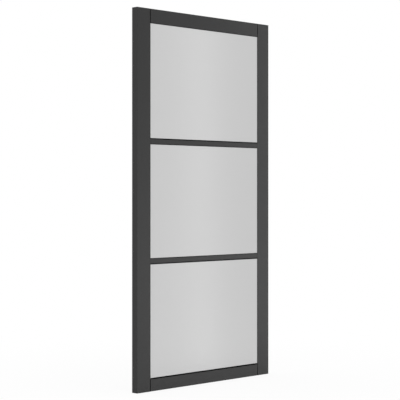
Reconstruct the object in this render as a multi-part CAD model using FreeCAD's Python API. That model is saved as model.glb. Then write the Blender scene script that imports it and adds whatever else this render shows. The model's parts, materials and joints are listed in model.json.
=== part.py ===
import FreeCAD, Part
import math
import os

from FreeCAD import Vector

# A glazed interior door leaf: an extruded frame, two slim glazing bars and three sheets of satin glass.
# The frame is set out with the edge that takes the hinges at x = 0 and the foot of the leaf at z = 0.
# The front looks along -y: the glass lies close behind it, and the glazing beads clip in from the back.
# All sizes are in millimetres.

# The leaf
leaf_width = 1025.0
leaf_height = 2015.0
leaf_thickness = 40.0

# Widths of the members as they show on the front
stile_face = 95.0
top_rail_face = 74.0
bottom_rail_face = 63.5
bar_face = 25.0

# Heights of the two glazing bars' centre lines
lower_bar_centre = 686.3
upper_bar_centre = 1316.3

# The extruded profiles
profile_wall = 1.8
stile_web = 1.5
outer_arris = 1.0
lip_arris = 0.4
glazing_lip = 9.0
lip_thickness = 1.2
bar_stem = 7.0
bar_stem_wall = 1.5

# Joints between the members: what is milled back from the sight line, on the lips beside the rails, on the
# rails' fronts and on the bars' fronts. The first two leave the dark shadow gap at each corner.
lip_setback = 3.7
rail_setback = 1.5
bar_setback = 0.2

# Glass and what beds it
glass_thickness = 5.0
glass_edge_gap = 3.0
front_tape = 0.5
back_gasket = 3.0
seal_corner_gap = 0.2
setting_block_length = 100.0
setting_block_inset = 165.0

# How far the black seals show past the sight line
side_show = 0.8
level_show = 3.0
wide_show = 5.5
sill_show = 7.5

# Glazing beads and the rib that they clip over
bead_wall = 1.2
bead_arris = 1.5
bead_end_gap = 0.2
rib_height = 2.4
rib_reach = 1.0
rib_from_back = 10.0
rib_clearance = 0.3

# Plugs in the ends of the stiles
cap_plate = 3.0
cap_leg = 12.0
cap_leg_wall = 2.0
cap_clearance = 0.2

# Spigots that carry the rails on the stiles
spigot_length = 60.0
spigot_clearance = 0.3
spigot_wall = 4.0

# Where the surfaces lie through the thickness
front = -leaf_thickness / 2
back = leaf_thickness / 2
behind_lip = front + lip_thickness
chamber_front = front + profile_wall
chamber_back = back - profile_wall
glass_front = behind_lip + front_tape
glass_back = glass_front + glass_thickness
bead_front = glass_back + back_gasket
rib_centre = back - rib_from_back

# How far the glass and its seals reach in behind the sight line
glass_bite = glazing_lip - glass_edge_gap

# The faces of the stiles and rails that the glass and the beads stand against
stile_body = stile_face - glazing_lip
top_rail_body = top_rail_face - glazing_lip
bottom_rail_body = bottom_rail_face - glazing_lip
rebate_left = stile_body
rebate_right = leaf_width - stile_body
sight_left = stile_face
sight_right = leaf_width - stile_face

# The three panes from the foot up: name, lower and upper sight line, and the seal that shows at each of them
panes = [
    ("lower", bottom_rail_face, lower_bar_centre - bar_face / 2, sill_show, wide_show),
    ("middle", lower_bar_centre + bar_face / 2, upper_bar_centre - bar_face / 2, level_show, level_show),
    ("upper", upper_bar_centre + bar_face / 2, leaf_height - top_rail_face, wide_show, level_show),
]


def outline(corners, place):
    """A closed wire through corners (across, depth, radius), each rounded by its radius."""
    edges = []
    ends = []
    count = len(corners)
    for i in range(count):
        across, depth, radius = corners[i]
        here = Vector(across, depth, 0)
        before = Vector(corners[i - 1][0], corners[i - 1][1], 0) - here
        after = Vector(corners[(i + 1) % count][0], corners[(i + 1) % count][1], 0) - here
        before.normalize()
        after.normalize()
        if radius == 0:
            ends.append((here, None, here))
            continue
        half = before.getAngle(after) / 2
        run = radius / math.tan(half)
        inward = before + after
        inward.normalize()
        middle = here + inward * (radius / math.sin(half) - radius)
        ends.append((here + before * run, middle, here + after * run))
    for i in range(count):
        start, middle, stop = [p and place(p.x, p.y) for p in ends[i]]
        if middle:
            edges.append(Part.Arc(start, middle, stop).toShape())
        next_start = ends[(i + 1) % count][0]
        edges.append(Part.makeLine(stop, place(next_start.x, next_start.y)))
    return Part.Wire(edges)


def rectangle(across_0, across_1, depth_0, depth_1):
    """The four sharp corners of a chamber."""
    return [(across_0, depth_0, 0), (across_1, depth_0, 0), (across_1, depth_1, 0), (across_0, depth_1, 0)]


def extrusion(corners, chambers, place, along):
    """A length of hollow profile: its outline less its chambers, drawn along a vector."""
    wires = [outline(corners, place)] + [outline(chamber, place) for chamber in chambers]
    return Part.Face(wires, "Part::FaceMakerCheese").extrude(along)


def block(x_0, x_1, y_0, y_1, z_0, z_1):
    return Part.makeBox(x_1 - x_0, y_1 - y_0, z_1 - z_0, Vector(x_0, y_0, z_0))


def rib_corners(across, towards):
    """The clip rib on a rebate wall at the height across, standing out towards +1 or -1."""
    tip = across + towards * rib_reach
    low = rib_centre - rib_height / 2
    high = rib_centre + rib_height / 2
    return [(across, low, 0), (tip, low, 0), (tip, high, 0), (across, high, 0)]


def frame_section(face):
    """Outline of a stile or rail: a body, the glazing lip at the front and the clip rib behind it."""
    body = face - glazing_lip
    return (
        [(0, front, outer_arris), (face, front, lip_arris), (face, behind_lip, 0), (body, behind_lip, 0)]
        + rib_corners(body, 1)
        + [(body, back, lip_arris), (0, back, outer_arris)]
    )


def stile(place):
    """A full-height stile: two chambers with a web between them, seats for the end plugs, and shadow gaps."""
    web_middle = stile_body / 2
    chambers = [
        rectangle(profile_wall, web_middle - stile_web / 2, chamber_front, chamber_back),
        rectangle(web_middle + stile_web / 2, stile_body - profile_wall, chamber_front, chamber_back),
    ]
    member = extrusion(frame_section(stile_face), chambers, place, Vector(0, 0, leaf_height))
    sides = sorted((place(profile_wall, 0).x, place(stile_body - profile_wall, 0).x))
    for z_0 in (0, leaf_height - cap_plate):
        seat = block(sides[0], sides[1], chamber_front, chamber_back, z_0, z_0 + cap_plate)
        member = member.cut(seat)
    gap_sides = sorted((place(stile_face - lip_setback, 0).x, place(stile_face, 0).x))
    for z_0, z_1 in ((0, bottom_rail_face), (leaf_height - top_rail_face, leaf_height)):
        member = member.cut(block(gap_sides[0], gap_sides[1], front, behind_lip, z_0, z_1))
    return member


def rail(face, place, stiles):
    """A rail: its body runs to the stiles behind their lips, and its front runs up to the shadow gaps."""
    body = face - glazing_lip
    chamber = rectangle(profile_wall, body - profile_wall, chamber_front, chamber_back)
    member = extrusion(frame_section(face), [chamber], place, Vector(rebate_right - rebate_left, 0, 0))
    return cope(member, rail_setback, stiles)


def cope(member, setback, stiles):
    """The member with its front wall stopped short of the sight lines, and cut clear of the lips and ribs."""
    box = member.BoundBox
    member = member.cut(block(box.XMin, sight_left + setback, front, chamber_front, box.ZMin, box.ZMax))
    member = member.cut(block(sight_right - setback, box.XMax, front, chamber_front, box.ZMin, box.ZMax))
    for other in stiles:
        member = member.cut(other)
    return member


def glazing_bar(centre, stiles):
    """A glazing bar: a flat front flange on a slim hollow stem, with a clip rib above and below."""
    half_face = bar_face / 2
    half_stem = bar_stem / 2
    corners = (
        [(-half_face, front, lip_arris), (half_face, front, lip_arris)]
        + [(half_face, behind_lip, 0), (half_stem, behind_lip, 0)]
        + rib_corners(half_stem, 1)
        + [(half_stem, back, lip_arris), (-half_stem, back, lip_arris)]
        + rib_corners(-half_stem, -1)[::-1]
        + [(-half_stem, behind_lip, 0), (-half_face, behind_lip, 0)]
    )
    chamber = rectangle(bar_stem_wall - half_stem, half_stem - bar_stem_wall, chamber_front, chamber_back)

    def place(across, depth):
        return Vector(rebate_left, depth, centre + across)

    member = extrusion(corners, [chamber], place, Vector(rebate_right - rebate_left, 0, 0))
    return cope(member, bar_setback, stiles)


def bead(place, along, neighbours):
    """A hollow glazing bead: across 0 stands against the frame, and its groove takes the clip rib."""
    groove = rib_reach + rib_clearance
    low = rib_centre - rib_height / 2 - rib_clearance
    high = rib_centre + rib_height / 2 + rib_clearance
    corners = [
        (0, bead_front, 0),
        (glazing_lip, bead_front, 0),
        (glazing_lip, back, bead_arris),
        (0, back, lip_arris),
        (0, high, 0),
        (groove, high, 0),
        (groove, low, 0),
        (0, low, 0),
    ]
    inner_front = bead_front + bead_wall
    inner_back = back - bead_wall
    chamber = rectangle(groove + bead_wall, glazing_lip - bead_wall, inner_front, inner_back)
    member = extrusion(corners, [chamber], place, along)
    for other in neighbours:
        member = member.cut(other)
    return member


def pane_beads(low, high, stiles):
    """The four beads of a pane: the level ones run from stile to stile, the upright ones stand between."""
    level = Vector(rebate_right - rebate_left - 2 * bead_end_gap, 0, 0)
    upright = Vector(0, 0, high - low - 2 * bead_end_gap)
    level_start = rebate_left + bead_end_gap
    upright_start = low + bead_end_gap
    bottom = low - glazing_lip
    top = high + glazing_lip
    return {
        "bottom": bead(lambda u, v: Vector(level_start, v, bottom + u), level, stiles),
        "top": bead(lambda u, v: Vector(level_start, v, top - u), level, stiles),
        "left": bead(lambda u, v: Vector(rebate_left + u, v, upright_start), upright, []),
        "right": bead(lambda u, v: Vector(rebate_right - u, v, upright_start), upright, []),
    }


def seal_ring(low, high, y_0, y_1, foot_show, head_show):
    """Four straight strips round a pane, from the edge of the glass to a little past the sight line."""
    outer_left = sight_left - glass_bite
    outer_right = sight_right + glass_bite
    inner_left = sight_left + side_show
    inner_right = sight_right - side_show
    below = low - glass_bite
    above = high + glass_bite
    inner_low = low + foot_show
    inner_high = high - head_show
    side_low = inner_low + seal_corner_gap
    side_high = inner_high - seal_corner_gap
    strips = [
        block(outer_left, outer_right, y_0, y_1, below, inner_low),
        block(outer_left, outer_right, y_0, y_1, inner_high, above),
        block(outer_left, inner_left, y_0, y_1, side_low, side_high),
        block(inner_right, outer_right, y_0, y_1, side_low, side_high),
    ]
    return Part.makeCompound(strips)


def glass_sheet(low, high):
    left = sight_left - glass_bite
    right = sight_right + glass_bite
    return block(left, right, glass_front, glass_back, low - glass_bite, high + glass_bite)


def setting_blocks(low):
    """The two packers under a sheet of glass, about a quarter of its width in from each end."""
    foot = low - glazing_lip
    pair = []
    for start in (
        rebate_left + setting_block_inset,
        rebate_right - setting_block_inset - setting_block_length,
    ):
        end = start + setting_block_length
        pair.append(block(start, end, behind_lip, bead_front, foot, foot + glass_edge_gap))
    return Part.makeCompound(pair)


def end_plug(place, z_end, inward):
    """A plug in a stile's end: a plate seated on the web, with one leg down into each chamber."""
    web_middle = stile_body / 2
    low = chamber_front + cap_clearance
    high = chamber_back - cap_clearance
    plate_sides = (profile_wall + cap_clearance, stile_body - profile_wall - cap_clearance)
    leg_sides = [
        (plate_sides[0], web_middle - stile_web / 2 - cap_clearance),
        (web_middle + stile_web / 2 + cap_clearance, plate_sides[1]),
    ]

    def slab(sides, depth_0, depth_1, reach_0, reach_1):
        x_ends = sorted(place(side, 0).x for side in sides)
        z_ends = sorted((z_end + inward * reach_0, z_end + inward * reach_1))
        return block(x_ends[0], x_ends[1], depth_0, depth_1, z_ends[0], z_ends[1])

    plug = slab(plate_sides, low, high, 0, cap_plate)
    for side_0, side_1 in leg_sides:
        leg = slab((side_0, side_1), low, high, cap_plate, cap_plate + cap_leg)
        inner_sides = (side_0 + cap_leg_wall, side_1 - cap_leg_wall)
        hollow = slab(inner_sides, low + cap_leg_wall, high - cap_leg_wall, cap_plate, cap_plate + cap_leg)
        plug = plug.fuse(leg.cut(hollow))
    return plug.removeSplitter()


def spigot(z_0, z_1, x_stile, inward):
    """A channel-shaped spigot fixed to a stile, open to the front, in the end of a rail's chamber."""
    x_ends = sorted((x_stile, x_stile + inward * spigot_length))
    y_0 = chamber_front + spigot_clearance
    y_1 = chamber_back - spigot_clearance
    low = z_0 + profile_wall + spigot_clearance
    high = z_1 - profile_wall - spigot_clearance
    body = block(x_ends[0], x_ends[1], y_0, y_1, low, high)
    hollow_ends = sorted((x_stile + inward * spigot_wall, x_stile + inward * spigot_length))
    floor = low + spigot_wall
    ceiling = high - spigot_wall
    hollow = block(hollow_ends[0], hollow_ends[1], y_0, y_1 - spigot_wall, floor, ceiling)
    return body.cut(hollow)


def from_left(across, depth):
    return Vector(across, depth, 0)


def from_right(across, depth):
    return Vector(leaf_width - across, depth, 0)


def from_foot(across, depth):
    return Vector(rebate_left, depth, across)


def from_head(across, depth):
    return Vector(rebate_left, depth, leaf_height - across)


def build():
    """Every piece of the leaf by name."""
    pieces = {}
    pieces["stile_left"] = stile(from_left)
    pieces["stile_right"] = stile(from_right)
    stiles = [pieces["stile_left"], pieces["stile_right"]]

    pieces["rail_top"] = rail(top_rail_face, from_head, stiles)
    pieces["rail_bottom"] = rail(bottom_rail_face, from_foot, stiles)
    pieces["glazing_bar_lower"] = glazing_bar(lower_bar_centre, stiles)
    pieces["glazing_bar_upper"] = glazing_bar(upper_bar_centre, stiles)

    for name, low, high, foot_show, head_show in panes:
        pieces["glass_" + name] = glass_sheet(low, high)
        pieces["front_tape_" + name] = seal_ring(low, high, behind_lip, glass_front, foot_show, head_show)
        pieces["back_gasket_" + name] = seal_ring(low, high, glass_back, bead_front, side_show, side_show)
        pieces["setting_blocks_" + name] = setting_blocks(low)
        for side, shape in pane_beads(low, high, stiles).items():
            pieces["bead_" + name + "_" + side] = shape

    for side, place, x_stile, inward in (
        ("left", from_left, rebate_left, 1),
        ("right", from_right, rebate_right, -1),
    ):
        pieces["end_plug_top_" + side] = end_plug(place, leaf_height, -1)
        pieces["end_plug_bottom_" + side] = end_plug(place, 0, 1)
        top_body_foot = leaf_height - top_rail_body
        pieces["spigot_top_" + side] = spigot(top_body_foot, leaf_height, x_stile, inward)
        pieces["spigot_bottom_" + side] = spigot(0, bottom_rail_body, x_stile, inward)
    return pieces


os.makedirs("parts", exist_ok=True)
for node, shape in build().items():
    shape.exportStep("parts/" + node + ".step")
    print(node, "valid" if shape.isValid() else "NOT VALID", len(shape.Solids), round(shape.Volume))
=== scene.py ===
import json
import math

import bpy
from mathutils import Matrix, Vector


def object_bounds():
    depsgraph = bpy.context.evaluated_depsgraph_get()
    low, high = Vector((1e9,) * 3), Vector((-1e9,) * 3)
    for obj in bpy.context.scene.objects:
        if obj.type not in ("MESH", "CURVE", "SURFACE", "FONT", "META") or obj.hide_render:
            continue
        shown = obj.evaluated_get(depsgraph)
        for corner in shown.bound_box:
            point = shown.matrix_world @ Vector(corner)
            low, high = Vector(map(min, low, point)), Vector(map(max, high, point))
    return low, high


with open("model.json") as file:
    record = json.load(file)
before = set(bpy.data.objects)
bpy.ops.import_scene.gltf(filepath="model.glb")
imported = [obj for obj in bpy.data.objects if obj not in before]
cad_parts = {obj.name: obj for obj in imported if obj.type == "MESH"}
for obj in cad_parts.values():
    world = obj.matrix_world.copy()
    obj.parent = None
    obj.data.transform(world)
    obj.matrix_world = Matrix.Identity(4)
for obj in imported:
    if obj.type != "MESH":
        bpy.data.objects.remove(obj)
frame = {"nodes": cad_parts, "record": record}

# The looks of a glazed interior door leaf. Metres, in the CAD frame: the hinge edge at x = 0, the foot at
# z = 0, and the front looking along -y.
cad_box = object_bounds()
leaf_foot = ((cad_box[0][0] + cad_box[1][0]) / 2, 0.0, 0.0)

# The camera stands level, to the left of the leaf and in front of it, turned 45 degrees to it
camera_place = (-4.4225, -4.880, 1.043)
camera_turn = math.radians(-45.155)
camera_lens_mm = 113.44
camera_sensor_mm = 36.0
camera_shift_up = -0.01665
camera_reach = 100.0

# Level of the white surround, at which a colour renders about as it is written
world_level = 1.0

# Lamps: name, where it stands, what it faces, its width and height, and its power in watts
foot_lamp = ("foot_fill", (0.5, -0.6, 0.06), (0.5, 0.0, 0.05), 2.0, 0.1, 0.5)
coating_lamps = [
    ("low_sheen", (2.15, -2.3, 0.1), (0.3, 0.0, 0.4), 1.0, 0.2, 17.9),
    ("high_sheen", (2.15, -2.3, 0.8), (0.3, 0.0, 0.9), 1.0, 0.8, 9.7),
    ("side_sheen", (1.645, -0.555, 1.3), (1.05, 0.0, 1.3), 0.1, 2.6, 7.6),
]
glass_lamp = ("glass_sheen", (0.86, -0.43, 1.5), (0.45, 0.0, 1.5), 0.05, 3.0, 4.9)

# Colours, linear, and how strongly the surfaces shine
coating_grey = 0.0358
coating_sheen = 0.12
glass_grey = 0.611
glass_index = 1.5
glass_clear_share = 0.05

# Black rubber and plastics: name, grey, sheen, roughness, scale of the moulded grain and its strength
mouldings = [
    ("seal_rubber", 0.004, 0.08, 0.8, 900.0, 0.3),
    ("packer_plastic", 0.02, 0.3, 0.5, 700.0, 0.2),
    ("plug_plastic", 0.03, 0.3, 0.55, 1100.0, 0.4),
    ("spigot_plastic", 0.015, 0.3, 0.6, 700.0, 0.2),
]

# The floor: half its width, its own colour, its share of plain white near the leaf's foot, how far from the
# foot that share begins to rise, and where it is all white
floor_half_width = 30.0
floor_grey = 0.9
floor_white = 0.9
floor_near = 0.5
floor_far = 2.5


def node(tree, kind, **inputs):
    """A shader node with its inputs set by name."""
    made = tree.nodes.new(kind)
    for name, value in inputs.items():
        made.inputs[name.replace("_", " ")].default_value = value
    return made


def new_material(name):
    """An empty material with its output node."""
    material = bpy.data.materials.new(name)
    material.use_nodes = True
    material.node_tree.nodes.clear()
    output = material.node_tree.nodes.new("ShaderNodeOutputMaterial")
    return material, material.node_tree, output


def new_surface(name):
    """A material with a single surface shader, which is ready on its output."""
    material, tree, output = new_material(name)
    shader = tree.nodes.new("ShaderNodeBsdfPrincipled")
    tree.links.new(shader.outputs["BSDF"], output.inputs["Surface"])
    return material, tree, shader


def grain(tree, scale, detail, low=0.0, high=1.0):
    """Noise in the piece's own coordinates, spread from low to high."""
    place = tree.nodes.new("ShaderNodeTexCoord")
    noise = node(tree, "ShaderNodeTexNoise", Scale=scale, Detail=detail)
    spread = tree.nodes.new("ShaderNodeMapRange")
    spread.inputs["To Min"].default_value = low
    spread.inputs["To Max"].default_value = high
    tree.links.new(place.outputs["Object"], noise.inputs["Vector"])
    tree.links.new(noise.outputs["Fac"], spread.inputs["Value"])
    return spread.outputs["Result"]


def bump(tree, height, strength, distance):
    """A normal that is tilted by a height pattern."""
    made = node(tree, "ShaderNodeBump", Strength=strength, Distance=distance)
    tree.links.new(height, made.inputs["Height"])
    return made.outputs["Normal"]


def tint(tree, share, grey, stray):
    """A grey that strays a little to the dark and to the light side with share."""
    dark = grey * (1 - stray)
    light = grey * (1 + stray)
    ramp = tree.nodes.new("ShaderNodeMix")
    ramp.data_type = "RGBA"
    ramp.inputs["A"].default_value = (dark, dark, dark, 1)
    ramp.inputs["B"].default_value = (light, light, light, 1)
    tree.links.new(share, ramp.inputs["Factor"])
    return ramp.outputs["Result"]


def powder_coating():
    """Charcoal powder coating: a fine pebbled skin, even in colour, with a low satin sheen."""
    material, tree, shader = new_surface("powder_coating")
    shader.inputs["Specular IOR Level"].default_value = coating_sheen
    clouds = grain(tree, scale=6.0, detail=3.0)
    tree.links.new(tint(tree, clouds, coating_grey, stray=0.04), shader.inputs["Base Color"])
    satin = grain(tree, scale=90.0, detail=2.0, low=0.44, high=0.54)
    tree.links.new(satin, shader.inputs["Roughness"])
    pebbles = grain(tree, scale=550.0, detail=2.0)
    tree.links.new(bump(tree, pebbles, strength=0.7, distance=0.0006), shader.inputs["Normal"])
    return material


def satin_glass():
    """Acid-etched glass: pale, scattering, with a soft sheen and a fine etched tooth."""
    material, tree, shader = new_surface("satin_glass")
    shader.inputs["Transmission Weight"].default_value = glass_clear_share
    shader.inputs["IOR"].default_value = glass_index
    clouds = grain(tree, scale=3.0, detail=2.0)
    tree.links.new(tint(tree, clouds, glass_grey, stray=0.01), shader.inputs["Base Color"])
    satin = grain(tree, scale=400.0, detail=2.0, low=0.38, high=0.46)
    tree.links.new(satin, shader.inputs["Roughness"])
    tooth = grain(tree, scale=1500.0, detail=1.0)
    tree.links.new(bump(tree, tooth, strength=0.3, distance=0.0002), shader.inputs["Normal"])
    return material


def moulded(name, grey, sheen, roughness, scale, strength):
    """Black rubber or plastic with a moulded grain."""
    material, tree, shader = new_surface(name)
    shader.inputs["Specular IOR Level"].default_value = sheen
    clouds = grain(tree, scale=20.0, detail=2.0)
    tree.links.new(tint(tree, clouds, grey, stray=0.15), shader.inputs["Base Color"])
    dull = grain(tree, scale / 4, detail=2.0, low=roughness - 0.05, high=roughness + 0.05)
    tree.links.new(dull, shader.inputs["Roughness"])
    pebbles = grain(tree, scale, detail=2.0)
    tree.links.new(bump(tree, pebbles, strength, distance=0.0003), shader.inputs["Normal"])
    return material


def dress():
    """Gives each CAD piece the material of its slot."""
    made = {"frame_coating": powder_coating(), "satin_glass": satin_glass()}
    for row in mouldings:
        made[row[0]] = moulded(*row)
    for piece in frame["record"]["subparts"]:
        slots = frame["nodes"][piece["node"]].data.materials
        slots.clear()
        slots.append(made[piece["material_slot"]])


def make_world():
    """An even white surround."""
    world = bpy.data.worlds.new("studio")
    bpy.context.scene.world = world
    world.use_nodes = True
    background = world.node_tree.nodes["Background"]
    background.inputs["Color"].default_value = (1, 1, 1, 1)
    background.inputs["Strength"].default_value = world_level


def seen_directly(tree):
    """1 for what the camera, a reflection or a look through glass sees, 0 for light on its way to things."""
    path = tree.nodes.new("ShaderNodeLightPath")
    total = path.outputs["Is Camera Ray"]
    for name in ("Is Glossy Ray", "Is Transmission Ray"):
        add = tree.nodes.new("ShaderNodeMath")
        add.operation = "MAXIMUM"
        tree.links.new(total, add.inputs[0])
        tree.links.new(path.outputs[name], add.inputs[1])
        total = add.outputs["Value"]
    return total


def floor_share(tree):
    """How much of the floor is plain white: less round the leaf's foot, all of it far away."""
    place = tree.nodes.new("ShaderNodeTexCoord")
    offset = tree.nodes.new("ShaderNodeVectorMath")
    offset.operation = "SUBTRACT"
    offset.inputs[1].default_value = leaf_foot
    distance = tree.nodes.new("ShaderNodeVectorMath")
    distance.operation = "LENGTH"
    spread = tree.nodes.new("ShaderNodeMapRange")
    spread.interpolation_type = "SMOOTHSTEP"
    spread.inputs["From Min"].default_value = floor_near
    spread.inputs["From Max"].default_value = floor_far
    spread.inputs["To Min"].default_value = floor_white
    tree.links.new(place.outputs["Object"], offset.inputs[0])
    tree.links.new(offset.outputs["Vector"], distance.inputs[0])
    tree.links.new(distance.outputs["Value"], spread.inputs["Value"])
    share = tree.nodes.new("ShaderNodeMath")
    share.operation = "MULTIPLY"
    tree.links.new(seen_directly(tree), share.inputs[0])
    tree.links.new(spread.outputs["Result"], share.inputs[1])
    return share.outputs["Value"]


def make_floor():
    """A pale studio floor, which goes over into the white background away from the leaf's foot."""
    far = floor_half_width
    mesh = bpy.data.meshes.new("floor")
    mesh.from_pydata([(-far, -far, 0), (far, -far, 0), (far, far, 0), (-far, far, 0)], [], [(0, 1, 2, 3)])
    floor = bpy.data.objects.new("floor", mesh)
    bpy.context.scene.collection.objects.link(floor)
    material, tree, output = new_material("floor_white")
    mesh.materials.append(material)
    matt = node(tree, "ShaderNodeBsdfDiffuse", Color=(floor_grey, floor_grey, floor_grey, 1))
    white = node(tree, "ShaderNodeEmission", Color=(1, 1, 1, 1), Strength=world_level)
    mix = tree.nodes.new("ShaderNodeMixShader")
    tree.links.new(floor_share(tree), mix.inputs["Fac"])
    tree.links.new(matt.outputs["BSDF"], mix.inputs[1])
    tree.links.new(white.outputs["Emission"], mix.inputs[2])
    tree.links.new(mix.outputs["Shader"], output.inputs["Surface"])


def make_lamp(name, place, target, width, height, power):
    """A soft box, which doesn't show itself."""
    light = bpy.data.lights.new(name, "AREA")
    light.shape = "RECTANGLE"
    light.size = width
    light.size_y = height
    light.energy = power
    lamp = bpy.data.objects.new(name, light)
    lamp.location = place
    lamp.rotation_euler = (Vector(target) - Vector(place)).to_track_quat("-Z", "Y").to_euler()
    lamp.visible_camera = False
    bpy.context.scene.collection.objects.link(lamp)
    return lamp


def keep_to(lamp, *slots):
    """Lets a lamp light only the pieces of some material slots."""
    pieces = bpy.data.collections.new("lit_" + lamp.name)
    for piece in frame["record"]["subparts"]:
        if piece["material_slot"] in slots:
            pieces.objects.link(frame["nodes"][piece["node"]])
    lamp.light_linking.receiver_collection = pieces


def sheen_only(lamp, slot):
    """Keeps a lamp to the soft reflections on the pieces of one material slot."""
    lamp.visible_diffuse = False
    lamp.visible_transmission = False
    keep_to(lamp, slot)


def make_lights():
    """A low strip that fills the shade at the foot, and soft boxes on the right that show as sheen."""
    keep_to(make_lamp(*foot_lamp), "frame_coating", "satin_glass")
    for row in coating_lamps:
        sheen_only(make_lamp(*row), "frame_coating")
    sheen_only(make_lamp(*glass_lamp), "satin_glass")


def make_camera():
    """The camera at the photo's angle, with the picture shifted so that it can stay level."""
    data = bpy.data.cameras.new("camera")
    data.lens = camera_lens_mm
    data.sensor_width = camera_sensor_mm
    data.shift_y = camera_shift_up
    data.clip_end = camera_reach
    camera = bpy.data.objects.new("camera", data)
    camera.location = camera_place
    camera.rotation_euler = (math.radians(90), 0, camera_turn)
    bpy.context.scene.collection.objects.link(camera)
    bpy.context.scene.camera = camera


dress()
make_world()
make_floor()
make_lights()
make_camera()
bpy.context.scene.view_settings.view_transform = "Standard"
